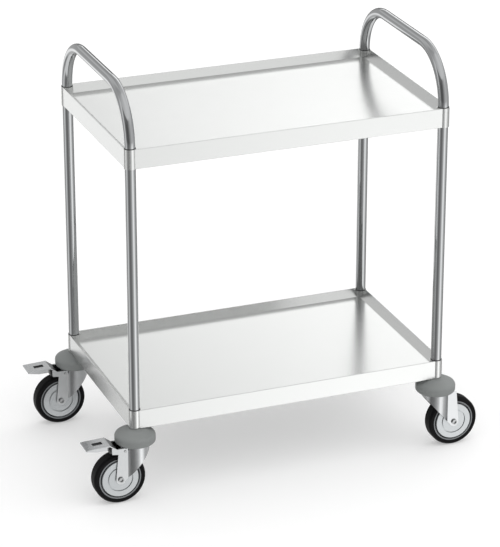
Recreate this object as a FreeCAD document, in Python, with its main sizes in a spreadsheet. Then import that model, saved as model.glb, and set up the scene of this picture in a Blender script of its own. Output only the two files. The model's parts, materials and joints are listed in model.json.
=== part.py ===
import FreeCAD, Part
import math
import os
import Sketcher
from types import SimpleNamespace

# Two-tier service cart: two bent tube end frames carry two pressed trays on four swivel castors.
# Millimetres, +Z up, X along the long side, Y from front to back.
# The origin lies on the floor at the middle of the footprint, brake pedals included.

DRIVING_SIZES = (
    # End frames
    ("post_spacing_x", 762.0, "post axis to post axis along the long side"),
    ("post_spacing_y", 455.0, "post axis to post axis from front to back"),
    ("tube_diameter", 25.0, "outside of the frame tube"),
    ("tube_wall", 1.5, "wall of the frame tube"),
    ("bend_radius", 120.0, "handle bends, on the tube axis"),
    ("handle_straight", 2.5, "straight tube between the upper rim and the bend"),
    ("tray_spacing", 638.0, "lower rim to upper rim"),
    # Trays
    ("tray_sheet", 1.2, "tray sheet"),
    ("skirt_height", 47.0, "rim to the lower edge of the skirt"),
    ("rim_width", 1.8, "folded rim"),
    ("rim_round", 0.9, "rounding of the folded rim"),
    ("skirt_set_back", 2.0, "skirt behind the outermost line of the sleeves"),
    ("skirt_round", 2.0, "bend at the lower edge of the skirt"),
    ("basin_depth", 16.8, "rim to tray floor"),
    ("basin_slope", 17.3, "how far the inner wall leans in"),
    ("return_flange", 12.0, "inward flange under the skirt"),
    ("sleeve_clearance", 0.2, "tube to sleeve bore"),
    ("sleeve_wall", 1.8, "wall of the corner sleeve"),
    ("weld_gap", 0.1, "tray sheet to sleeve"),
    ("seal_lip", 1.0, "rubber ring on top of a sleeve, outside the tube"),
    ("seal_height", 1.1, "rubber ring on top of a sleeve"),
    ("screw_drop", 34.0, "rim to clamp screw"),
    ("screw_radius", 3.0, "clamp screw shank"),
    ("screw_length", 11.0, "clamp screw shank"),
    ("screw_head_radius", 5.0, "clamp screw head"),
    ("screw_head", 4.0, "clamp screw head height"),
    # Corner bumpers
    ("bumper_radius", 48.0, "bumper edge"),
    ("bumper_rise", 23.0, "castor head to the top of the bumper"),
    ("bumper_skirt", 11.5, "castor head to the lower edge of the bumper"),
    ("bumper_crown", 22.0, "radius of the flat top of the bumper"),
    ("bumper_shoulder", 14.0, "fall of the bumper from its top to its edge"),
    ("bumper_edge_round", 9.0, "upper edge rounding"),
    ("bumper_foot_round", 6.5, "lower edge rounding"),
    ("bumper_crown_round", 20.0, "rounding where the top starts to fall"),
    # Castor heads
    ("stem_radius", 5.0, "threaded stem"),
    ("stem_length", 48.0, "stem above the head plate"),
    ("expander_gap", 0.1, "expander to tube bore"),
    ("expander_length", 40.0, "rubber expander"),
    ("expander_start", 3.0, "head plate to expander"),
    ("head_plate", 6.0, "head plate"),
    ("head_radius", 33.5, "head plate"),
    ("seal_wall", 2.1, "dust seal"),
    ("seal_drop", 10.5, "dust seal height"),
    ("seat_gap", 0.05, "pieces that seat on each other"),
    ("running_gap", 0.3, "pieces that turn past each other"),
    ("recess_gap", 0.4, "seal to bumper"),
    ("king_pin_radius", 6.0, "king pin"),
    ("king_flange_radius", 11.0, "peened end of the king pin"),
    ("king_flange", 3.2, "peened end height"),
    ("swivel_bearing_height", 4.65, "sealed swivel bearing"),
    ("swivel_bearing_bore", 14.0, "sealed swivel bearing inner radius"),
    ("swivel_bearing_radius", 26.0, "sealed swivel bearing outer radius"),
    # Forks
    ("crown_gap", 18.5, "tyre to fork crown"),
    ("crown_radius", 33.0, "round crown of the fork"),
    ("crown_round", 3.0, "pressed edge of the crown"),
    ("fork_sheet", 2.5, "fork sheet"),
    ("leg_half_gap", 19.0, "castor middle to the inside of a leg"),
    ("leg_overhang", 3.4, "upper leg corner beyond the axle"),
    ("axle_boss", 11.5, "rounded lower end of a leg"),
    ("skirt_front", 5.5, "depth of the fork skirt at the front"),
    ("trail", 43.0, "swivel axis to axle"),
    # Wheels
    ("wheel_diameter", 125.0, "over the tyre"),
    ("tread_half", 12.0, "half of the flat tread"),
    ("tyre_half", 17.0, "half of the tyre"),
    ("tyre_shoulder", 3.5, "fall of the tread at the shoulder"),
    ("tyre_round", 5.0, "rounding of the shoulder"),
    ("tyre_depth", 11.5, "tread to the edge of the rim lip"),
    ("rim_lip", 0.8, "height of the rim lip"),
    ("rim_lip_wall", 1.7, "thickness of the rim lip"),
    ("rim_half", 15.6, "half of the rim"),
    ("rim_wall", 2.1, "rim under the tyre"),
    ("web_ring_radius", 42.5, "ring on the web that backs the thread guards"),
    ("web_ring_wall", 3.0, "ring on the web"),
    ("web_half", 3.0, "half of the wheel web"),
    ("hub_radius", 16.0, "hub outside"),
    ("hub_half", 16.4, "half of the hub"),
    ("tyre_gap", 0.1, "tyre to rim"),
    ("guard_face", 17.3, "castor middle to the face of the thread guard"),
    ("guard_sheet", 3.2, "thread guard"),
    ("guard_shadow_gap", 3.6, "open gap between thread guard and rim"),
    ("guard_groove", 29.5, "radius of the ring groove"),
    ("guard_groove_width", 2.6, "ring groove"),
    ("guard_groove_depth", 2.4, "ring groove"),
    ("guard_bevel", 0.8, "edge of the thread guard"),
    ("bush_wall", 5.0, "hub bush"),
    ("bush_inner", 5.0, "castor middle to the inner end of a bush"),
    ("bush_outer", 18.2, "castor middle to the outer end of a bush"),
    ("fit_gap", 0.05, "running and press fits"),
    ("axle_radius", 4.0, "axle bolt"),
    ("axle_sleeve_wall", 1.9, "axle sleeve"),
    ("axle_head_radius", 6.5, "axle bolt head"),
    ("axle_head", 4.0, "axle bolt head height"),
    ("axle_socket_radius", 4.0, "recess in the bolt head"),
    ("axle_socket", 2.8, "recess depth"),
    ("nut_radius", 7.5, "axle nut across corners, halved"),
    ("nut_height", 6.5, "axle nut"),
    ("thread_end", 2.0, "bolt beyond the nut"),
    # Brakes
    ("pin_back", 32.0, "swivel axis to the brake pin"),
    ("pin_drop", 8.5, "fork crown to the brake pin"),
    ("pin_radius", 3.0, "brake pin"),
    ("pin_head", 1.5, "brake pin beyond the lever"),
    ("lever_sheet", 2.5, "brake lever sheet"),
    ("lever_gap", 0.4, "fork leg to lever arm"),
    ("lever_arm", 8.0, "half height of a lever arm"),
    ("lever_eye", 6.5, "rounded inner end of an arm"),
    ("arm_reach", 32.0, "brake pin to the outer end of an arm"),
    ("arm_lift", 4.5, "rise of an arm to its outer end"),
    ("arm_neck", 8.0, "inner edge of the lever web to the notch over the arm"),
    ("web_start", 20.0, "brake pin to the inner edge of the lever web"),
    ("web_rise", 12.0, "rise of the lever web"),
    ("web_run", 16.0, "run of the lever web"),
    ("pedal_length", 58.0, "brake pedal plate"),
    ("pedal_fall", 2.5, "outward fall of the pedal plate"),
    ("pedal_round", 2.0, "pedal corners"),
    ("pedal_flange", 10.5, "side flange under the pedal"),
    ("flange_start", 7.0, "inner edge of the pedal to the flange"),
    ("slot_length", 24.0, "pedal slot"),
    ("slot_width", 13.0, "pedal slot"),
    ("slot_start", 13.0, "inner edge of the pedal to the slot"),
    ("shoe_half", 14.0, "half of the brake shoe"),
    ("shoe_length", 12.0, "brake shoe"),
    ("shoe_drop", 5.5, "brake pin to the face of the shoe"),
    ("shoe_start", 2.0, "inner edge of the lever web to the shoe"),
    ("tongue_half", 10.0, "half of the tongue that carries the shoe"),
    ("tongue_sheet", 2.0, "tongue under the pedal"),
    ("tongue_margin", 5.0, "tongue beyond the slot"),
)

SPOTS = (
    ("front_left", -1, -1),
    ("rear_left", -1, 1),
    ("front_right", 1, -1),
    ("rear_right", 1, 1),
)
BRAKED = ("front_left", "rear_left")
FULL_TURN = 360.0
THROUGH_ALL = 1


class Size:
    """A number together with the sheet expression that it comes from."""

    def __init__(self, number, text):
        self.number = number
        self.text = text

    def joined(self, sign, other, number):
        return Size(number, "(%s %s %s)" % (self.text, sign, other.text))

    def __add__(self, other):
        other = as_size(other)
        return self.joined("+", other, self.number + other.number)

    def __sub__(self, other):
        other = as_size(other)
        return self.joined("-", other, self.number - other.number)

    def __mul__(self, other):
        other = as_size(other)
        return self.joined("*", other, self.number * other.number)

    def __truediv__(self, other):
        other = as_size(other)
        return self.joined("/", other, self.number / other.number)

    def __neg__(self):
        return self * -1

    def root(self):
        return Size(math.sqrt(self.number), "sqrt(%s)" % self.text)


def as_size(value):
    return value if isinstance(value, Size) else Size(float(value), "(%r)" % float(value))


def fill_sheet():
    """Write the driving sizes to the sheet and return them by name."""
    sheet = doc.addObject("Spreadsheet::Sheet", "Sizes")
    named = {}
    for row, (alias, number, note) in enumerate(DRIVING_SIZES, start=1):
        sheet.set("A%d" % row, note)
        sheet.set("B%d" % row, str(number))
        sheet.setAlias("B%d" % row, alias)
        named[alias] = Size(number, "Sizes.%s" % alias)
    doc.recompute()
    return SimpleNamespace(**named)


doc = FreeCAD.newDocument("service_cart")
s = fill_sheet()

# Places that several pieces share
post_x = s.post_spacing_x / 2
post_y = s.post_spacing_y / 2
tube_r = s.tube_diameter / 2
bore_r = tube_r - s.tube_wall
sleeve_bore = tube_r + s.sleeve_clearance
sleeve_r = sleeve_bore + s.sleeve_wall
wheel_r = s.wheel_diameter / 2
crown_under = s.wheel_diameter + s.crown_gap
crown_top = crown_under + s.fork_sheet
bearing_under = crown_top + s.seat_gap
plate_under = bearing_under + s.swivel_bearing_height + s.running_gap
head_top = plate_under + s.head_plate
lower_rest = head_top + s.bumper_rise
lower_top = lower_rest + s.skirt_height
upper_top = lower_top + s.tray_spacing
handle_bend = upper_top + s.handle_straight
handle_axis = handle_bend + s.bend_radius
leg_outer = s.leg_half_gap + s.fork_sheet
pin_z = crown_under - s.pin_drop
arm_inner = leg_outer + s.lever_gap
arm_outer = arm_inner + s.lever_sheet
lip_r = wheel_r - s.tyre_depth
rim_r = lip_r - s.rim_lip
rim_inner = rim_r - s.rim_wall
guard_back = s.guard_face - s.guard_sheet
axle_sleeve_r = s.axle_radius + s.fit_gap + s.axle_sleeve_wall
bush_bore = axle_sleeve_r + s.fit_gap
bush_r = bush_bore + s.bush_wall

# Brake lever, seen from the side: web rising from the arms, then the pedal plate
web_x = s.pin_back + s.web_start
arm_top = pin_z + s.lever_arm
arm_under = pin_z - s.lever_arm
pedal_x = web_x + s.web_run
pedal_z = arm_top + s.web_rise
pedal_end_x = pedal_x + s.pedal_length
pedal_end_z = pedal_z - s.pedal_fall
web_slope = s.web_rise / s.web_run
web_across = s.lever_sheet * (web_slope * web_slope + 1).root()
slot_x = pedal_x + s.slot_start
slot_end_x = slot_x + s.slot_length

# The pedals reach further out on the left than the wheels do on the right
footprint_shift = (pedal_end_x - s.trail - wheel_r) / 2


def bind(item, prop, value):
    item.setExpression(prop, as_size(value).text)


def new_body(label):
    body = doc.addObject("PartDesign::Body", label)
    body.Label = label
    return body


def sketch_on(body, role, lift=0):
    """Sketch on one of the body's own planes, lifted along the plane's normal."""
    sketch = body.newObject("Sketcher::SketchObject", body.Label + "_sketch")
    plane = next(item for item in body.Origin.OriginFeatures if item.Role == role)
    sketch.AttachmentSupport = [(plane, "")]
    sketch.MapMode = "FlatFace"
    bind(sketch, "AttachmentOffset.Base.z", lift)
    return sketch


def hold(sketch, kind, *where, value):
    """Add a driving dimension that follows the sheet."""
    index = sketch.addConstraint(Sketcher.Constraint(kind, *where, as_size(value).number))
    bind(sketch, "Constraints[%d]" % index, value)


def hold_point(sketch, line, end, point):
    hold(sketch, "DistanceX", line, end, value=point[0])
    hold(sketch, "DistanceY", line, end, value=point[1])


def vector(point):
    return FreeCAD.Vector(as_size(point[0]).number, as_size(point[1]).number, 0)


def outline(sketch, points):
    """Closed straight-sided outline through the points."""
    first = sketch.GeometryCount
    count = len(points)
    for index, point in enumerate(points):
        following = points[(index + 1) % count]
        sketch.addGeometry(Part.LineSegment(vector(point), vector(following)))
    for index in range(count):
        following = (index + 1) % count
        sketch.addConstraint(Sketcher.Constraint("Coincident", first + index, 2, first + following, 1))
    for index, point in enumerate(points):
        hold_point(sketch, first + index, 1, point)


def rectangle(sketch, low_x, high_x, low_y, high_y):
    outline(sketch, ((low_x, low_y), (high_x, low_y), (high_x, high_y), (low_x, high_y)))


def circle(sketch, x, y, radius):
    index = sketch.addGeometry(Part.Circle(vector((x, y)), FreeCAD.Vector(0, 0, 1), as_size(radius).number))
    hold_point(sketch, index, 3, (x, y))
    hold(sketch, "Radius", index, value=radius)


def pad(body, sketch, length, down=False, middle=False):
    feature = body.newObject("PartDesign::Pad", body.Label + "_pad")
    feature.Profile = sketch
    feature.Reversed = down
    feature.Midplane = middle
    bind(feature, "Length", length)
    return feature


def cut_through(body, sketch):
    """Cut right through the body, to both sides of the sketch."""
    feature = body.newObject("PartDesign::Pocket", body.Label + "_cut")
    feature.Profile = sketch
    feature.Type = THROUGH_ALL
    feature.Midplane = True
    return feature


def cut_between(body, sketch, length):
    """Cut the given length, half of it to each side of the sketch."""
    feature = body.newObject("PartDesign::Pocket", body.Label + "_cut")
    feature.Profile = sketch
    feature.Midplane = True
    bind(feature, "Length", length)
    return feature


def turn(body, points, role):
    """Revolve an outline of radius and height about the sketch's upright axis."""
    sketch = sketch_on(body, role)
    outline(sketch, points)
    feature = body.newObject("PartDesign::Revolution", body.Label + "_turned")
    feature.Profile = sketch
    feature.ReferenceAxis = (sketch, ["V_Axis"])
    feature.Angle = FULL_TURN


def basin(body, kind, depth, floor_half, rim_half):
    """Leaning-walled block below the rim plane, from its floor's half sizes to its rim's."""
    block = body.newObject(kind, body.Label + "_basin")
    plane = next(item for item in body.Origin.OriginFeatures if item.Role == "XZ_Plane")
    block.AttachmentSupport = [(plane, "")]
    block.MapMode = "FlatFace"
    bind(block, "Ymin", -depth)
    bind(block, "Ymax", 0)
    for low, high, half in (("Xmin", "Xmax", floor_half[0]), ("Zmin", "Zmax", floor_half[1]),
                            ("X2min", "X2max", rim_half[0]), ("Z2min", "Z2max", rim_half[1])):
        bind(block, low, -half)
        bind(block, high, half)


def round_edges(body, radius, wanted):
    """Fillet the edges of the finished form that the test picks out."""
    doc.recompute()
    base = body.Tip
    names = ["Edge%d" % number for number, edge in enumerate(base.Shape.Edges, start=1) if wanted(edge)]
    feature = body.newObject("PartDesign::Fillet", body.Label + "_round")
    feature.Base = (base, names)
    bind(feature, "Radius", radius)


def near(first, second):
    return abs(first - second) < 1e-3


def ring_edge(radius, along, place):
    """Test for a circle of this radius whose centre lies at this place along an axis."""
    def wanted(edge):
        curve = edge.Curve
        if not isinstance(curve, Part.Circle):
            return False
        centre = getattr(curve.Center, along)
        return near(curve.Radius, as_size(radius).number) and near(centre, as_size(place).number)
    return wanted


def place(item, x, y, z, turned=False):
    if turned:
        half_turn = FreeCAD.Rotation(FreeCAD.Vector(0, 0, 1), FULL_TURN / 2)
        item.Placement = FreeCAD.Placement(FreeCAD.Vector(), half_turn)
    bind(item, "Placement.Base.x", as_size(x) + footprint_shift)
    bind(item, "Placement.Base.y", y)
    bind(item, "Placement.Base.z", z)


def place_on_swivel(item, spot):
    """Pieces drawn about the swivel axis, with the wheel trailing to -X."""
    name, side_x, side_y = spot
    place(item, post_x * side_x, post_y * side_y, 0, turned=side_x > 0)


def place_on_axle(item, spot):
    """Pieces drawn about the axle."""
    name, side_x, side_y = spot
    place(item, (post_x + s.trail) * side_x, post_y * side_y, wheel_r, turned=side_x > 0)


def group(label, items):
    together = doc.addObject("Part::Compound", label)
    together.Label = label
    together.Links = items
    return together


def end_frame(label, side_x):
    """One tube bent to a handle and two posts, standing on the castor heads."""
    body = new_body(label)
    path = sketch_on(body, "YZ_Plane")
    bend_y = post_y - s.bend_radius
    runs = (
        ((-post_y, head_top), (-post_y, handle_bend)),
        ((-bend_y, handle_axis), (bend_y, handle_axis)),
        ((post_y, handle_bend), (post_y, head_top)),
    )
    for start, end in runs:
        index = path.addGeometry(Part.LineSegment(vector(start), vector(end)))
        hold_point(path, index, 1, start)
        hold_point(path, index, 2, end)
    quarter = math.pi / 2
    for first, second, centre_y, start_angle in ((0, 1, -bend_y, quarter), (1, 2, bend_y, 0.0)):
        ring = Part.Circle(vector((centre_y, handle_bend)), FreeCAD.Vector(0, 0, 1), s.bend_radius.number)
        arc = path.addGeometry(Part.ArcOfCircle(ring, start_angle, start_angle + quarter))
        path.addConstraint(Sketcher.Constraint("Coincident", arc, 2, first, 2))
        path.addConstraint(Sketcher.Constraint("Coincident", arc, 1, second, 1))
        hold(path, "DistanceX", arc, 3, value=centre_y)
    section = sketch_on(body, "XY_Plane", head_top)
    for radius in (tube_r, bore_r):
        circle(section, 0, -post_y, radius)
    tube = body.newObject("PartDesign::AdditivePipe", label + "_tube")
    tube.Profile = section
    tube.Spine = path
    place(body, post_x * side_x, 0, 0)
    return body


def tray_half(inset):
    """Half sizes of the tray's plan, drawn in from its outer faces."""
    edge = sleeve_r - s.skirt_set_back
    return (post_x + edge - inset, post_y + edge - inset)


def add_tray_rectangle(sketch, inset):
    half_x, half_y = tray_half(inset)
    rectangle(sketch, -half_x, half_x, -half_y, half_y)


def tray(label, top):
    """Pressed tray: folded rim, leaning inner walls, floor, outer skirt and return flange."""
    body = new_body(label)
    for inner, height in ((s.tray_sheet, s.skirt_height), (s.return_flange, s.tray_sheet)):
        plan = sketch_on(body, "XY_Plane", -s.skirt_height)
        add_tray_rectangle(plan, 0)
        add_tray_rectangle(plan, inner)
        pad(body, plan, height)
    lean = s.basin_slope / s.basin_depth
    wall_across = s.tray_sheet * (lean * lean + 1).root()
    under_depth = s.basin_depth + s.tray_sheet
    under_rim = s.rim_width - wall_across
    basin(body, "PartDesign::AdditiveWedge", under_depth,
          tray_half(under_rim + lean * under_depth), tray_half(under_rim))
    basin(body, "PartDesign::SubtractiveWedge", s.basin_depth,
          tray_half(s.rim_width + s.basin_slope), tray_half(s.rim_width))
    corner_rings = sketch_on(body, "XY_Plane")
    corner_squares = sketch_on(body, "XY_Plane")
    reach_x = post_x + s.bumper_radius
    reach_y = post_y + s.bumper_radius
    for name, side_x, side_y in SPOTS:
        circle(corner_rings, post_x * side_x, post_y * side_y, sleeve_r + s.weld_gap)
        rectangle(corner_squares, post_x * side_x, reach_x * side_x, post_y * side_y, reach_y * side_y)
    cut_through(body, corner_rings)
    cut_through(body, corner_squares)
    round_edges(body, s.rim_round, rim_edge)
    round_edges(body, s.skirt_round, skirt_edge)
    place(body, 0, 0, top)
    return body


def rim_edge(edge):
    """Straight edge in the rim plane."""
    box = edge.BoundBox
    in_plane = near(box.ZMin, 0) and near(box.ZMax, 0)
    long_enough = edge.Length > s.bumper_radius.number
    return in_plane and long_enough


def skirt_edge(edge):
    """Lower edge of the skirt's outer face."""
    box = edge.BoundBox
    half_x, half_y = tray_half(0)
    level = -s.skirt_height.number
    at_foot = near(box.ZMin, level) and near(box.ZMax, level)
    along_x = near(box.YMin, box.YMax) and near(abs(box.YMin), half_y.number)
    along_y = near(box.XMin, box.XMax) and near(abs(box.XMin), half_x.number)
    return at_foot and (along_x or along_y)


def tray_sleeves(label, top):
    """Four corner sleeves, each bored for its post and drilled for its clamp screw."""
    body = new_body(label)
    rings = sketch_on(body, "XY_Plane")
    for name, side_x, side_y in SPOTS:
        for radius in (sleeve_r, sleeve_bore):
            circle(rings, post_x * side_x, post_y * side_y, radius)
    pad(body, rings, s.skirt_height, down=True)
    holes = sketch_on(body, "XZ_Plane")
    for side_x in (-1, 1):
        circle(holes, post_x * side_x, -s.screw_drop, s.screw_radius + s.weld_gap)
    cut_between(body, holes, s.post_spacing_y)
    place(body, 0, 0, top)
    return body


def tray_seals(label, top):
    """Four rubber rings that close the joints between the posts and the tops of the sleeves."""
    bodies = []
    inner = tube_r + s.fit_gap
    low = s.seat_gap
    high = low + s.seal_height
    outer = inner + s.seal_lip
    for name, side_x, side_y in SPOTS:
        ring = new_body("%s_%s" % (label, name))
        turn(ring, ((inner, low), (outer, low), (outer, high), (inner, high)), "XZ_Plane")
        place(ring, post_x * side_x, post_y * side_y, top)
        bodies.append(ring)
    return group(label, bodies)


def tray_screws(label, top):
    """Four clamp screws under the tray floor, pressing on the posts."""
    bodies = []
    for name, side_x, side_y in SPOTS:
        screw = new_body("%s_%s" % (label, name))
        tip = post_y - tube_r - s.seat_gap
        head = tip - s.screw_length
        end = head - s.screw_head
        steps = ((0, tip), (s.screw_radius, tip), (s.screw_radius, head), (s.screw_head_radius, head),
                 (s.screw_head_radius, end), (0, end))
        turn(screw, [(radius, as_size(along) * side_y) for radius, along in steps], "XY_Plane")
        place(screw, post_x * side_x, 0, top - s.screw_drop)
        bodies.append(screw)
    return group(label, bodies)


def bumper(spot):
    """Domed buffer disc round the foot of a post, hollow below to take the castor head."""
    body = new_body(spot[0] + "_bumper")
    recess = s.head_radius + s.seal_wall + s.recess_gap
    foot = head_top - s.bumper_skirt
    edge = lower_rest - s.bumper_shoulder
    turn(body, ((sleeve_bore, lower_rest), (s.bumper_crown, lower_rest), (s.bumper_radius, edge),
                (s.bumper_radius, foot), (recess, foot), (recess, head_top), (sleeve_bore, head_top)),
         "XZ_Plane")
    round_edges(body, s.bumper_edge_round, ring_edge(s.bumper_radius, "z", edge))
    round_edges(body, s.bumper_foot_round, ring_edge(s.bumper_radius, "z", foot))
    round_edges(body, s.bumper_crown_round, ring_edge(s.bumper_crown, "z", lower_rest))
    place_on_swivel(body, spot)
    return body


def castor_stem(spot):
    """Threaded stem, head plate and king pin of one castor."""
    body = new_body("castor_stem_" + spot[0])
    flange_top = crown_under - s.running_gap
    flange_under = flange_top - s.king_flange
    tip = head_top + s.stem_length
    turn(body, ((0, flange_under), (s.king_flange_radius, flange_under), (s.king_flange_radius, flange_top),
                (s.king_pin_radius, flange_top), (s.king_pin_radius, plate_under),
                (s.head_radius, plate_under), (s.head_radius, head_top), (s.stem_radius, head_top),
                (s.stem_radius, tip), (0, tip)), "XZ_Plane")
    place_on_swivel(body, spot)
    return body


def plain_ring(label, spot, inner, outer, low, high):
    body = new_body(label)
    turn(body, ((inner, low), (outer, low), (outer, high), (inner, high)), "XZ_Plane")
    place_on_swivel(body, spot)
    return body


def castor_expander(spot):
    """Rubber expander that grips the inside of the post."""
    low = head_top + s.expander_start
    return plain_ring("castor_expander_" + spot[0], spot, s.stem_radius + s.fit_gap,
                      bore_r - s.expander_gap, low, low + s.expander_length)


def swivel_seal(spot):
    """Dust seal round the castor head, under the bumper."""
    inner = s.head_radius + s.fit_gap
    return plain_ring("swivel_seal_" + spot[0], spot, inner, s.head_radius + s.seal_wall,
                      head_top - s.seal_drop, head_top)


def swivel_bearing(spot):
    """Sealed thrust bearing between the fork crown and the head plate."""
    return plain_ring(spot[0] + "_swivel_bearing", spot, s.swivel_bearing_bore, s.swivel_bearing_radius,
                      bearing_under, bearing_under + s.swivel_bearing_height)


def fork_side_profile(sketch):
    """Outline of the fork seen from the side: slanting front edge and rounded axle end."""
    margin = s.fork_sheet
    hub = (-s.trail, wheel_r)
    front = (s.crown_radius + margin, crown_under - s.skirt_front)
    roof = crown_top + margin
    corners = (
        (front[0], roof),
        (-(s.trail + s.leg_overhang), roof),
    )
    reach = (front[0].number - hub[0].number, front[1].number - hub[1].number)
    boss = s.axle_boss.number
    toward_front = math.atan2(reach[1], reach[0]) - math.acos(boss / math.hypot(*reach))
    toward_back = math.pi
    ring = Part.Circle(vector(hub), FreeCAD.Vector(0, 0, 1), boss)
    end = Part.ArcOfCircle(ring, toward_back, toward_front + 2 * math.pi)
    top = sketch.addGeometry(Part.LineSegment(vector(corners[0]), vector(corners[1])))
    back = sketch.addGeometry(Part.LineSegment(vector(corners[1]), end.StartPoint))
    arc = sketch.addGeometry(end)
    slant = sketch.addGeometry(Part.LineSegment(end.EndPoint, vector(front)))
    nose = sketch.addGeometry(Part.LineSegment(vector(front), vector(corners[0])))
    for first, second in ((top, back), (slant, nose), (nose, top)):
        sketch.addConstraint(Sketcher.Constraint("Coincident", first, 2, second, 1))
    sketch.addConstraint(Sketcher.Constraint("Tangent", back, 2, arc, 1))
    sketch.addConstraint(Sketcher.Constraint("Tangent", arc, 2, slant, 1))
    hold_point(sketch, top, 1, corners[0])
    hold_point(sketch, top, 2, corners[1])
    hold_point(sketch, nose, 1, front)
    hold_point(sketch, arc, 3, hub)
    hold(sketch, "Radius", arc, value=s.axle_boss)


def fork(spot):
    """Pressed fork: round crown with a skirt that runs out into two flat legs."""
    body = new_body(spot[0] + "_fork")
    crown = sketch_on(body, "XY_Plane", crown_under)
    circle(crown, 0, 0, s.crown_radius)
    pad(body, crown, s.fork_sheet)
    skirt_length = crown_under - wheel_r + s.axle_boss + s.fork_sheet
    skirt = sketch_on(body, "XY_Plane", crown_under)
    for radius in (s.crown_radius, s.crown_radius - s.fork_sheet):
        circle(skirt, 0, 0, radius)
    pad(body, skirt, skirt_length, down=True)
    round_edges(body, s.crown_round, ring_edge(s.crown_radius, "z", crown_top))
    wheel_way = sketch_on(body, "XY_Plane", crown_under)
    rectangle(wheel_way, -(s.crown_radius + s.fork_sheet), 0, -s.leg_half_gap, s.leg_half_gap)
    opening = body.newObject("PartDesign::Pocket", body.Label + "_wheel_way")
    opening.Profile = wheel_way
    opening.Type = THROUGH_ALL
    legs = sketch_on(body, "XY_Plane", crown_under)
    fold = (s.crown_radius * s.crown_radius - leg_outer * leg_outer).root()
    leg_back = s.trail + s.axle_boss + s.fork_sheet
    for side in (-1, 1):
        rectangle(legs, -leg_back, s.fork_sheet - fold, s.leg_half_gap * side, leg_outer * side)
    pad(body, legs, skirt_length, down=True)
    profile = sketch_on(body, "XZ_Plane")
    fork_side_profile(profile)
    far_x = leg_back + s.crown_radius
    rectangle(profile, -far_x, far_x, 0, head_top + s.skirt_height)
    cut_through(body, profile)
    king_hole = sketch_on(body, "XY_Plane", crown_under)
    circle(king_hole, 0, 0, s.king_pin_radius + s.running_gap)
    cut_through(body, king_hole)
    side_holes = sketch_on(body, "XZ_Plane")
    circle(side_holes, -s.trail, wheel_r, s.axle_radius + s.fit_gap)
    if spot[0] in BRAKED:
        circle(side_holes, -s.pin_back, pin_z, s.pin_radius + s.fit_gap)
    cut_through(body, side_holes)
    place_on_swivel(body, spot)
    return body


def front_side(spot):
    """Side of the castor's own Y axis that faces the front of the cart."""
    return 1 if spot[1] > 0 else -1


def axle_bolt(spot):
    body = new_body(spot[0] + "_axle_bolt")
    head = leg_outer + s.axle_head
    end = leg_outer + s.nut_height + s.thread_end
    socket = head - s.axle_socket
    steps = ((0, socket), (s.axle_socket_radius, socket), (s.axle_socket_radius, head),
             (s.axle_head_radius, head), (s.axle_head_radius, leg_outer), (s.axle_radius, leg_outer),
             (s.axle_radius, -end), (0, -end))
    turn(body, [(radius, as_size(along) * front_side(spot)) for radius, along in steps], "XY_Plane")
    place_on_axle(body, spot)
    return body


def axle_nut(spot):
    body = new_body(spot[0] + "_axle_nut")
    far_side = -front_side(spot)
    face = leg_outer if far_side < 0 else -(leg_outer + s.nut_height)
    sketch = sketch_on(body, "XZ_Plane", face)
    sides = 6
    angles = [math.radians(FULL_TURN / sides * corner) for corner in range(sides)]
    outline(sketch, [(s.nut_radius * math.cos(angle), s.nut_radius * math.sin(angle)) for angle in angles])
    circle(sketch, 0, 0, s.axle_radius + s.fit_gap)
    pad(body, sketch, s.nut_height)
    place_on_axle(body, spot)
    return body


def axle_sleeve(spot):
    """Spacer tube that the fork legs clamp and the wheel turns on."""
    body = new_body(spot[0] + "_axle_sleeve")
    inner = s.axle_radius + s.fit_gap
    half = s.leg_half_gap - s.seat_gap
    turn(body, ((inner, -half), (axle_sleeve_r, -half), (axle_sleeve_r, half), (inner, half)), "XY_Plane")
    place_on_axle(body, spot)
    return body


def mirrored_steps(steps):
    """Profile of radius and half width, closed by its mirror image."""
    return list(steps) + [(radius, -along) for radius, along in reversed(steps)]


def wheel_core(spot):
    """Moulded hub, web with a ring on each side, and rim."""
    body = new_body(spot[0] + "_wheel_core")
    bore = bush_r + s.fit_gap
    lip_inner = s.rim_half - s.rim_lip_wall
    ring_inner = s.web_ring_radius - s.web_ring_wall
    ring_half = guard_back - s.tyre_gap
    steps = ((rim_r, lip_inner), (lip_r, lip_inner), (lip_r, s.rim_half), (rim_inner, s.rim_half),
             (rim_inner, s.web_half), (s.web_ring_radius, s.web_half), (s.web_ring_radius, ring_half),
             (ring_inner, ring_half), (ring_inner, s.web_half), (s.hub_radius, s.web_half),
             (s.hub_radius, s.hub_half), (bore, s.hub_half))
    turn(body, mirrored_steps(steps), "XY_Plane")
    place_on_axle(body, spot)
    return body


def tyre(spot):
    """Rubber tyre moulded over the rim."""
    body = new_body(spot[0] + "_tyre")
    bed = rim_r + s.tyre_gap
    bead = lip_r + s.tyre_gap
    lip_inner = s.rim_half - s.rim_lip_wall - s.tyre_gap
    shoulder = wheel_r - s.tyre_shoulder
    steps = ((wheel_r, s.tread_half), (shoulder, s.tyre_half), (bead, s.tyre_half - s.rim_lip_wall / 2),
             (bead, lip_inner), (bed, lip_inner))
    turn(body, mirrored_steps(steps), "XY_Plane")
    for side in (-1, 1):
        round_edges(body, s.tyre_round, ring_edge(wheel_r, "y", s.tread_half * side))
    place_on_axle(body, spot)
    return body


def hub_bushes(spot):
    """Two plain bushes pressed into the hub."""
    bodies = []
    for side in (-1, 1):
        bush = new_body("%s_hub_bush_%s" % (spot[0], "front" if side < 0 else "rear"))
        steps = ((bush_bore, s.bush_inner), (bush_r, s.bush_inner), (bush_r, s.bush_outer),
                 (bush_bore, s.bush_outer))
        turn(bush, [(radius, along * side) for radius, along in steps], "XY_Plane")
        place_on_axle(bush, spot)
        bodies.append(bush)
    return group(spot[0] + "_hub_bushes", bodies)


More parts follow.
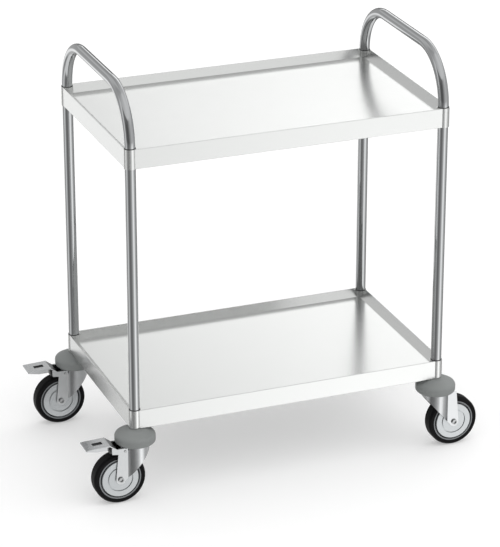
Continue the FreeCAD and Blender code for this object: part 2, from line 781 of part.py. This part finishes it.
def thread_guards(spot):
    """Two cover discs with a ring groove, clipped to the sides of the wheel."""
    bodies = []
    seat = s.hub_half + s.tyre_gap
    edge = rim_inner - s.guard_shadow_gap
    groove_inner = s.guard_groove - s.guard_groove_width / 2
    groove_outer = s.guard_groove + s.guard_groove_width / 2
    groove_floor = s.guard_face - s.guard_groove_depth
    bevel = s.guard_bevel
    inner = bush_r + s.running_gap
    clear_hub = s.hub_radius + s.running_gap
    steps = ((inner, seat), (inner, s.guard_face), (groove_inner, s.guard_face), (groove_inner, groove_floor),
             (groove_outer, groove_floor), (groove_outer, s.guard_face), (edge - bevel, s.guard_face),
             (edge, s.guard_face - bevel), (edge, guard_back), (clear_hub, guard_back), (clear_hub, seat))
    for side in (-1, 1):
        guard = new_body("%s_thread_guard_%s" % (spot[0], "front" if side < 0 else "rear"))
        turn(guard, [(radius, along * side) for radius, along in steps], "XY_Plane")
        place_on_axle(guard, spot)
        bodies.append(guard)
    return group(spot[0] + "_thread_guards", bodies)


def brake_pin(spot):
    """Pin across the fork legs that the brake lever turns on."""
    body = new_body(spot[0] + "_brake_pin")
    sketch = sketch_on(body, "XZ_Plane")
    circle(sketch, -s.pin_back, pin_z, s.pin_radius)
    pad(body, sketch, (arm_outer + s.pin_head) * 2, middle=True)
    place_on_swivel(body, spot)
    return body


def pedal_height(x):
    """Height of the pedal plate's upper face at this distance from the swivel axis."""
    return pedal_z - s.pedal_fall / s.pedal_length * (as_size(x) - pedal_x)


def brake_pedal(spot):
    """Pressed lever: slotted pedal plate with side flanges, web over the tyre, arms outside the fork legs."""
    body = new_body(spot[0] + "_brake_pedal")
    plate = sketch_on(body, "XZ_Plane")
    outline(plate, ((-web_x, arm_top), (-pedal_x, pedal_z), (-pedal_end_x, pedal_end_z),
                    (-pedal_end_x, pedal_end_z - s.lever_sheet), (-pedal_x, pedal_z - s.lever_sheet),
                    (-pedal_x, pedal_z - web_across), (-web_x, arm_top - web_across)))
    pad(body, plate, arm_outer * 2, middle=True)
    neck_x = web_x + s.arm_neck
    neck_z = arm_top + web_slope * s.arm_neck
    notch_z = arm_top + s.arm_lift
    arm_end_x = s.pin_back + s.arm_reach
    flange_x = pedal_x + s.flange_start
    flange_end_x = flange_x + s.slot_length
    flange_z = pedal_z - s.pedal_flange
    for lift in (arm_inner, -arm_outer):
        arm = sketch_on(body, "XZ_Plane", lift)
        outline(arm, ((-s.pin_back, arm_top), (-web_x, arm_top), (-neck_x, neck_z), (-neck_x, notch_z),
                      (-arm_end_x, notch_z), (-arm_end_x, arm_under + s.arm_lift), (-s.pin_back, arm_under)))
        pad(body, arm, s.lever_sheet)
        eye = sketch_on(body, "XZ_Plane", lift)
        circle(eye, -s.pin_back, pin_z, s.lever_eye)
        pad(body, eye, s.lever_sheet)
        flange = sketch_on(body, "XZ_Plane", lift)
        outline(flange, ((-flange_x, pedal_height(flange_x)), (-flange_x, flange_z),
                         (-flange_end_x, flange_z), (-pedal_end_x, pedal_end_z - s.lever_sheet),
                         (-pedal_end_x, pedal_end_z)))
        pad(body, flange, s.lever_sheet)
    openings = sketch_on(body, "XY_Plane")
    rectangle(openings, -slot_end_x, -slot_x, s.slot_width / -2, s.slot_width / 2)
    cut_through(body, openings)
    pin_hole = sketch_on(body, "XZ_Plane")
    circle(pin_hole, -s.pin_back, pin_z, s.pin_radius + s.fit_gap)
    cut_through(body, pin_hole)
    round_edges(body, s.pedal_round, pedal_corner)
    place_on_swivel(body, spot)
    return body


def pedal_corner(edge):
    """Upright edge at an outer corner of the pedal plate."""
    box = edge.BoundBox
    end = -pedal_end_x.number
    side = arm_outer.number
    upright = near(box.XMin, end) and near(box.XMax, end) and near(box.YMin, box.YMax)
    return upright and near(abs(box.YMin), side)


def brake_shoe(spot):
    """Moulded shoe under the lever web, on a tongue that shows through the pedal slot."""
    body = new_body(spot[0] + "_brake_shoe")
    inner_x = web_x + s.shoe_start
    outer_x = inner_x + s.shoe_length
    face_z = pin_z - s.shoe_drop
    under_web = arm_top - web_across - s.weld_gap
    inner_z = under_web + web_slope * s.shoe_start
    outer_z = inner_z + web_slope * s.shoe_length
    side = sketch_on(body, "XZ_Plane")
    outline(side, ((-inner_x, face_z), (-inner_x, inner_z), (-outer_x, outer_z), (-outer_x, face_z)))
    pad(body, side, s.shoe_half * 2, middle=True)
    tongue = sketch_on(body, "XZ_Plane")
    tongue_x = slot_end_x + s.tongue_margin
    root_z = pedal_z - web_across - s.weld_gap
    tip_z = pedal_height(tongue_x) - s.lever_sheet - s.weld_gap
    outline(tongue, ((-outer_x, outer_z), (-pedal_x, root_z), (-tongue_x, tip_z),
                     (-tongue_x, tip_z - s.tongue_sheet), (-pedal_x, root_z - s.tongue_sheet),
                     (-outer_x, face_z)))
    pad(body, tongue, s.tongue_half * 2, middle=True)
    place_on_swivel(body, spot)
    return body


def castor(spot):
    pieces = [bumper(spot), fork(spot), swivel_bearing(spot), axle_bolt(spot), axle_nut(spot),
              axle_sleeve(spot), wheel_core(spot), tyre(spot), hub_bushes(spot), thread_guards(spot)]
    if spot[0] in BRAKED:
        pieces += [brake_pin(spot), brake_pedal(spot), brake_shoe(spot)]
    return pieces


def cart():
    pieces = [end_frame("left_end_frame", -1), end_frame("right_end_frame", 1)]
    for level, top in (("upper", upper_top), ("lower", lower_top)):
        pieces.append(tray(level + "_tray", top))
        pieces.append(tray_sleeves(level + "_tray_sleeves", top))
        pieces.append(tray_seals(level + "_tray_seals", top))
        pieces.append(tray_screws(level + "_tray_screws", top))
    pieces.append(group("castor_stems", [castor_stem(spot) for spot in SPOTS]))
    pieces.append(group("castor_expanders", [castor_expander(spot) for spot in SPOTS]))
    pieces.append(group("swivel_seals", [swivel_seal(spot) for spot in SPOTS]))
    for spot in SPOTS:
        pieces += castor(spot)
    return pieces


def check(pieces):
    """Stop if any object failed or any piece has no sound shape."""
    for item in doc.Objects:
        if "Invalid" in item.State or "Error" in item.State:
            raise RuntimeError("%s failed to build" % item.Label)
    for piece in pieces:
        if piece.Shape.isNull() or not piece.Shape.isValid() or not piece.Shape.Solids:
            raise RuntimeError("%s has no valid solid" % piece.Label)


def write(pieces):
    os.makedirs("parts", exist_ok=True)
    for piece in pieces:
        piece.Shape.exportStep("parts/%s.step" % piece.Label)


cart_pieces = cart()
doc.recompute()
check(cart_pieces)
write(cart_pieces)
print("%d pieces, %.0f mm tall" % (len(cart_pieces), (handle_axis + tube_r).number))
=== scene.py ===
import json
import math

import bpy
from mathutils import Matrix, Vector

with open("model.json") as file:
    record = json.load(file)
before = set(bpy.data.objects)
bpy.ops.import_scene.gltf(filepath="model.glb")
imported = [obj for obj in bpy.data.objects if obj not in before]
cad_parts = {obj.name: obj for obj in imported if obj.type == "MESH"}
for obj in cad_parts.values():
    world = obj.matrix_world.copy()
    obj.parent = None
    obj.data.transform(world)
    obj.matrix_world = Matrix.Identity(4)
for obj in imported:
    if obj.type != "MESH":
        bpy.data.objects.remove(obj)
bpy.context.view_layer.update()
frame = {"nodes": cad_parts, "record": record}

MM = 0.001
METAL = {"Metallic": 1.0}
# Share that each finer layer of a surface pattern keeps of the layer above it
LAYER_SHARE = 0.6
# Grey of a surface pattern at which the roughness starts to rise and at which it is full
PATTERN_LOW = 0.3
PATTERN_HIGH = 0.7
# The flanks of the grinding lines in stainless steel
SCATTER_COLOUR = "#C5C6C5"
SCATTER_ROUGH = 0.62


def linear(hex_colour):
    """sRGB hex to the linear colour that shaders take."""
    channels = [int(hex_colour[i:i + 2], 16) / 255 for i in (1, 3, 5)]
    return tuple(c / 12.92 if c <= 0.04045 else ((c + 0.055) / 1.055) ** 2.4 for c in channels) + (1.0,)


def grey(level):
    """Linear grey of this level."""
    return (level, level, level, 1.0)


def add(tree, kind, settings=None, inputs=None, links=None):
    """Add a node, give it its settings and socket values, and link other nodes' outputs to it."""
    node = tree.nodes.new(kind)
    for name, value in (settings or {}).items():
        setattr(node, name, value)
    for name, value in (inputs or {}).items():
        node.inputs[name].default_value = value
    for name, source in (links or {}).items():
        tree.links.new(source, node.inputs[name])
    return node


def worked_surface(name, sockets, streak_mm, colours, rough, height_mm=0.0, layers=3.0):
    """Material whose colour, roughness and relief follow one pattern with streaks this long in X, Y and Z."""
    material = bpy.data.materials.new(name)
    material.use_nodes = True
    tree = material.node_tree
    shader = tree.nodes["Principled BSDF"]
    for socket, value in sockets.items():
        shader.inputs[socket].default_value = value
    place = add(tree, "ShaderNodeTexCoord")
    streaks = add(tree, "ShaderNodeVectorMath", {"operation": "MULTIPLY"},
                  {1: [1 / (size * MM) for size in streak_mm]}, {0: place.outputs["Object"]})
    pattern = add(tree, "ShaderNodeTexNoise", {},
                  {"Scale": 1.0, "Detail": layers, "Roughness": LAYER_SHARE},
                  {"Vector": streaks.outputs["Vector"]}).outputs["Fac"]
    colour = add(tree, "ShaderNodeMix", {"data_type": "RGBA"},
                 {"A": linear(colours[0]), "B": linear(colours[1])}, {"Factor": pattern})
    tree.links.new(colour.outputs["Result"], shader.inputs["Base Color"])
    gloss = add(tree, "ShaderNodeMapRange", {},
                {"From Min": PATTERN_LOW, "From Max": PATTERN_HIGH, "To Min": rough[0], "To Max": rough[1]},
                {"Value": pattern})
    tree.links.new(gloss.outputs["Result"], shader.inputs["Roughness"])
    if height_mm:
        relief = add(tree, "ShaderNodeBump", {}, {"Strength": 1.0, "Distance": height_mm * MM},
                     {"Height": pattern})
        tree.links.new(relief.outputs["Normal"], shader.inputs["Normal"])
    return material


def ground_stainless(name, streak_mm, rough, scatter_share):
    """Ground stainless: smooth lands mirror softly, the fine grinding lines between them scatter wide."""
    material = worked_surface(name, METAL, streak_mm, colours=("#C2C3C2", "#C9CAC9"), rough=rough,
                              height_mm=0.003, layers=4.0)
    tree = material.node_tree
    flanks = add(tree, "ShaderNodeBsdfPrincipled", {},
                 {"Base Color": linear(SCATTER_COLOUR), "Roughness": SCATTER_ROUGH, **METAL})
    both = add(tree, "ShaderNodeMixShader", {}, {0: scatter_share},
               {1: tree.nodes["Principled BSDF"].outputs[0], 2: flanks.outputs[0]})
    tree.links.new(both.outputs[0], tree.nodes["Material Output"].inputs["Surface"])
    return material


# Real polishing, grinding and turning lines and mould grit are far finer than the streaks here and would not
# show in the render, so they are drawn coarser
finishes = {
    # Buffed tube is a near mirror, softened by faint polishing lines along its length
    "polished_tube": worked_surface(
        "polished_stainless_tube", METAL, streak_mm=(1.5, 1.5, 60.0), colours=("#A9ABAC", "#B0B1B2"),
        rough=(0.05, 0.10)),
    # Tray sheet shows soft, wide reflections, drawn out across its grinding lines
    "satin_sheet": ground_stainless(
        "satin_stainless_sheet", streak_mm=(40.0, 0.5, 0.5), rough=(0.19, 0.26), scatter_share=0.10),
    # Sleeve tube is ground along its length and a little smoother than the sheet
    "satin_sleeve": ground_stainless(
        "satin_stainless_sleeve", streak_mm=(0.5, 0.5, 40.0), rough=(0.12, 0.18), scatter_share=0.15),
    # Zinc plated pressed steel is bright, a little wavy, with a faint bluish mottle
    "bright_pressing": worked_surface(
        "bright_plated_pressing", METAL, streak_mm=(6.0, 6.0, 6.0), colours=("#A7A9AB", "#B6B7B7"),
        rough=(0.16, 0.22), height_mm=0.02),
    # Zinc plated bolts and pins are dull silver with fine turning marks
    "plated_fastener": worked_surface(
        "plated_fastener_steel", METAL, streak_mm=(1.0, 1.0, 1.0), colours=("#949697", "#ADAEAE"),
        rough=(0.25, 0.4)),
    # Moulded bumper rubber is an even, dull grey with hardly any shine
    "grey_rubber": worked_surface(
        "grey_bumper_rubber", {"Specular IOR Level": 0.35}, streak_mm=(0.8, 0.8, 0.8),
        colours=("#7E8180", "#888B8A"), rough=(0.5, 0.65), height_mm=0.02),
    # Moulded near-black rubber with a dull sheen; its rings at the tops of the sleeves draw a thin dark line
    # round each post
    "black_rubber": worked_surface(
        "near_black_ring_rubber", {"Specular IOR Level": 0.4}, streak_mm=(0.8, 0.8, 0.8),
        colours=("#1B1B1C", "#252526"), rough=(0.5, 0.65), height_mm=0.02),
    # Tyre rubber is black and takes almost no shine
    "black_tyre": worked_surface(
        "black_tyre_rubber", {"Specular IOR Level": 0.06}, streak_mm=(1.0, 1.0, 1.0),
        colours=("#0E0E0F", "#171718"), rough=(0.45, 0.6), height_mm=0.03),
    # Moulded nylon is an even grey with a soft shine
    "grey_plastic": worked_surface(
        "grey_nylon_core", {}, streak_mm=(0.6, 0.6, 0.6), colours=("#797C7F", "#838688"),
        rough=(0.4, 0.5), height_mm=0.01),
    # Guard plastic has silver flake in it and gleams like the plated forks
    "light_plastic": worked_surface(
        "light_grey_guard_plastic", {"Metallic": 0.75}, streak_mm=(0.6, 0.6, 0.6),
        colours=("#A8ABAD", "#B0B3B4"), rough=(0.24, 0.32), height_mm=0.01),
    # Moulded shoe plastic is black with a soft shine
    "black_plastic": worked_surface(
        "black_shoe_plastic", {}, streak_mm=(0.6, 0.6, 0.6), colours=("#202021", "#2B2B2C"),
        rough=(0.4, 0.5), height_mm=0.01),
}

for subpart in frame["record"]["subparts"]:
    for slot in frame["nodes"][subpart["node"]].material_slots:
        slot.material = finishes[subpart["material_slot"]]

# Panels round the cart: one even level underneath, then rings up to the ceiling. A ring takes over from the
# one below it between two heights, in parts of the shell's radius. Its levels go by azimuth in degrees, where
# 0 is the front, 90 is +X and 180 is the back
GROUND_LEVEL = 1.25
RINGS = (
    (-0.75, -0.60, {-180: 0.45, -168: 0.80, -152: 0.80, -136: 0.40, -118: 0.60, -95: 1.35, -76: 0.60,
                    -54: 0.26, -32: 0.32, -12: 0.55, 8: 1.00, 20: 1.75, 26: 2.22, 38: 1.95,
                    60: 0.90, 91: 0.52, 125: 0.42, 156: 0.22, 180: 0.45}),
    (-0.46, -0.34, {-180: 0.50, -168: 1.45, -152: 1.45, -136: 0.40, -118: 0.60, -95: 1.35, -76: 0.60,
                    -54: 0.26, -32: 0.32, -12: 0.55, 8: 1.00, 20: 1.55, 26: 1.92, 38: 1.60,
                    60: 0.90, 91: 0.52, 125: 0.42, 156: 0.22, 180: 0.50}),
    (-0.22, -0.08, {-180: 0.55, -165: 0.62, -150: 0.64, -118: 0.60, -96: 1.20, -76: 0.30, -50: 0.15,
                    -25: 0.22, 5: 0.62, 31: 0.88, 60: 0.80, 91: 0.70, 115: 0.58, 138: 0.48,
                    152: 0.26, 170: 0.28, 180: 0.55}),
    (0.29, 0.36, {-180: 0.55, -165: 0.90, -150: 1.00, -118: 0.65, -96: 1.20, -76: 0.30, -50: 0.15,
                  -25: 0.22, 5: 0.62, 31: 0.88, 60: 0.80, 91: 1.00, 115: 1.50, 146: 2.50,
                  156: 2.48, 160: 2.20, 166: 1.65, 180: 0.55}),
    (0.395, 0.42, {-180: 0.50, -165: 0.78, -150: 0.86, -118: 0.65, -96: 1.10, -76: 0.30, -25: 0.22,
                   5: 0.62, 40: 1.00, 80: 1.05, 115: 1.30, 144: 1.75, 155: 1.60, 159: 1.30,
                   162: 1.22, 166: 0.88, 172: 0.55, 180: 0.50}),
    (0.56, 0.66, {-180: 0.48, -166: 0.80, -148: 0.88, -120: 0.60, -60: 0.90, 0: 1.10, 40: 1.15,
                  80: 1.10, 120: 0.85, 160: 0.72, 180: 0.48}),
)
BRIGHTEST = 2.5
SHELL_RADIUS = 15.0
SHELL_SEGMENTS = 96
SHELL_RINGS = 48
FLOOR_SIZE = 40.0
FLOOR_MATT = 0.68
FLOOR_WHITE = 0.33
# Half length and half width of the floor under the cart, and the parts of them between which metal stops
# seeing the floor
CART_HALF = (0.45, 0.30)
FLOOR_FADE = (0.8, 1.2)
# Light of the dome from every side alike, and how it grows towards +X, +Y and +Z
DOME_EVEN = 0.62
DOME_LEAN = (0.36, -0.30, 0.75)
# Lens and sensor in millimetres; how far the camera sees, its place and its line of sight in metres
LENS = 178.94
SENSOR = 36.0
FARTHEST = 100.0
CAMERA_PLACE = (-2.16535, -5.5799, 2.9409)
CAMERA_SIGHT = (0.3337, 0.8590, -0.3883)


def seen_directly(tree):
    """One where the eye, a mirror or glass looks straight at a surface, nought where it only gives light."""
    path = add(tree, "ShaderNodeLightPath")
    mirrored = add(tree, "ShaderNodeMath", {"operation": "ADD"}, {},
                   {0: path.outputs["Is Camera Ray"], 1: path.outputs["Is Glossy Ray"]})
    return add(tree, "ShaderNodeMath", {"operation": "ADD", "use_clamp": True}, {},
               {0: mirrored.outputs[0], 1: path.outputs["Is Transmission Ray"]}).outputs[0]


def bare_material(name):
    """Material with no nodes in it yet, and its node tree."""
    material = bpy.data.materials.new(name)
    material.use_nodes = True
    material.node_tree.nodes.clear()
    return material, material.node_tree


def studio_floor():
    """Pale floor with the cart's soft shadow; metal sees it under the cart and the panels farther out."""
    bpy.ops.mesh.primitive_plane_add(size=FLOOR_SIZE)
    floor = bpy.context.object
    floor.name = "studio_floor"
    material, tree = bare_material("white_studio_floor")
    matt = add(tree, "ShaderNodeBsdfDiffuse", {}, {"Color": grey(FLOOR_MATT)})
    share = add(tree, "ShaderNodeMath", {"operation": "MULTIPLY"}, {1: FLOOR_WHITE}, {0: seen_directly(tree)})
    white = add(tree, "ShaderNodeEmission", {}, {}, {"Strength": share.outputs[0]})
    both = add(tree, "ShaderNodeAddShader", {}, {}, {0: matt.outputs[0], 1: white.outputs[0]})
    place = add(tree, "ShaderNodeTexCoord")
    spread = add(tree, "ShaderNodeVectorMath", {"operation": "MULTIPLY"},
                 {1: [1 / half for half in CART_HALF] + [0.0]}, {0: place.outputs["Object"]})
    out = add(tree, "ShaderNodeVectorMath", {"operation": "LENGTH"}, {}, {0: spread.outputs["Vector"]})
    beyond = add(tree, "ShaderNodeMapRange", {}, {"From Min": FLOOR_FADE[0], "From Max": FLOOR_FADE[1]},
                 {"Value": out.outputs["Value"]})
    path = add(tree, "ShaderNodeLightPath")
    gone = add(tree, "ShaderNodeMath", {"operation": "MULTIPLY"}, {},
               {0: beyond.outputs["Result"], 1: path.outputs["Is Glossy Ray"]})
    clear = add(tree, "ShaderNodeBsdfTransparent")
    shown = add(tree, "ShaderNodeMixShader", {}, {},
                {0: gone.outputs[0], 1: both.outputs[0], 2: clear.outputs[0]})
    add(tree, "ShaderNodeOutputMaterial", {}, {}, {"Surface": shown.outputs[0]})
    floor.data.materials.append(material)


def studio_panels():
    """White, grey and dark panels round the cart that only the bright metal sees, for its bands of light."""
    bpy.ops.mesh.primitive_uv_sphere_add(radius=SHELL_RADIUS, segments=SHELL_SEGMENTS, ring_count=SHELL_RINGS)
    shell = bpy.context.object
    shell.name = "studio_panels"
    shell.visible_camera = False
    shell.visible_diffuse = False
    shell.visible_shadow = False
    material, tree = bare_material("studio_panels")
    place = add(tree, "ShaderNodeTexCoord")
    way = add(tree, "ShaderNodeVectorMath", {"operation": "NORMALIZE"}, {}, {0: place.outputs["Object"]})
    parts = add(tree, "ShaderNodeSeparateXYZ", {}, {}, {"Vector": way.outputs["Vector"]})
    front = add(tree, "ShaderNodeMath", {"operation": "MULTIPLY"}, {1: -1.0}, {0: parts.outputs["Y"]})
    angle = add(tree, "ShaderNodeMath", {"operation": "ARCTAN2"}, {},
                {0: parts.outputs["X"], 1: front.outputs[0]})
    azimuth = add(tree, "ShaderNodeMapRange", {}, {"From Min": -math.pi, "From Max": math.pi},
                  {"Value": angle.outputs[0]})
    below = None
    for start, end, levels in RINGS:
        ring = add(tree, "ShaderNodeValToRGB", {}, {}, {"Fac": azimuth.outputs["Result"]})
        ring.color_ramp.interpolation = "EASE"
        stops = ring.color_ramp.elements
        for degrees in list(levels)[1:-1]:
            stops.new((degrees + 180) / 360)
        for stop, level in zip(stops, levels.values()):
            stop.color = grey(level / BRIGHTEST)
        reached = add(tree, "ShaderNodeMapRange", {"interpolation_type": "SMOOTHSTEP"},
                      {"From Min": start, "From Max": end}, {"Value": parts.outputs["Z"]})
        over = add(tree, "ShaderNodeMix", {"data_type": "RGBA"}, {"A": grey(GROUND_LEVEL / BRIGHTEST)},
                   {"Factor": reached.outputs["Result"], "B": ring.outputs["Color"]})
        if below:
            tree.links.new(below.outputs["Result"], over.inputs["A"])
        below = over
    glow = add(tree, "ShaderNodeEmission", {}, {"Strength": BRIGHTEST}, {"Color": below.outputs["Result"]})
    add(tree, "ShaderNodeOutputMaterial", {}, {}, {"Surface": glow.outputs[0]})
    material.cycles.emission_sampling = "NONE"
    shell.data.materials.append(material)


def studio_world():
    """Dome of soft light, strongest from above and from the front right, white to the eye."""
    world = bpy.data.worlds.new("studio")
    bpy.context.scene.world = world
    world.use_nodes = True
    tree = world.node_tree
    tree.nodes.clear()
    place = add(tree, "ShaderNodeTexCoord")
    lean = add(tree, "ShaderNodeVectorMath", {"operation": "DOT_PRODUCT"}, {1: DOME_LEAN},
               {0: place.outputs["Generated"]})
    level = add(tree, "ShaderNodeMath", {"operation": "ADD"}, {1: DOME_EVEN}, {0: lean.outputs["Value"]})
    bright = add(tree, "ShaderNodeMath", {"operation": "MAXIMUM"}, {1: 0.0}, {0: level.outputs[0]})
    dome = add(tree, "ShaderNodeBackground", {}, {"Color": grey(1.0)}, {"Strength": bright.outputs[0]})
    white = add(tree, "ShaderNodeBackground", {}, {"Color": grey(1.0), "Strength": 1.0})
    seen = add(tree, "ShaderNodeMixShader", {}, {},
               {0: seen_directly(tree), 1: dome.outputs[0], 2: white.outputs[0]})
    add(tree, "ShaderNodeOutputWorld", {}, {}, {"Surface": seen.outputs[0]})


def photo_camera():
    """Camera at the photograph's place, angle and lens."""
    view = bpy.data.cameras.new("photo_camera")
    view.lens = LENS
    view.sensor_width = SENSOR
    view.clip_end = FARTHEST
    holder = bpy.data.objects.new("photo_camera", view)
    holder.location = CAMERA_PLACE
    holder.rotation_euler = Vector(CAMERA_SIGHT).to_track_quat("-Z", "Y").to_euler()
    bpy.context.collection.objects.link(holder)
    bpy.context.scene.camera = holder


studio_floor()
studio_panels()
studio_world()
photo_camera()
bpy.context.scene.view_settings.view_transform = "Standard"
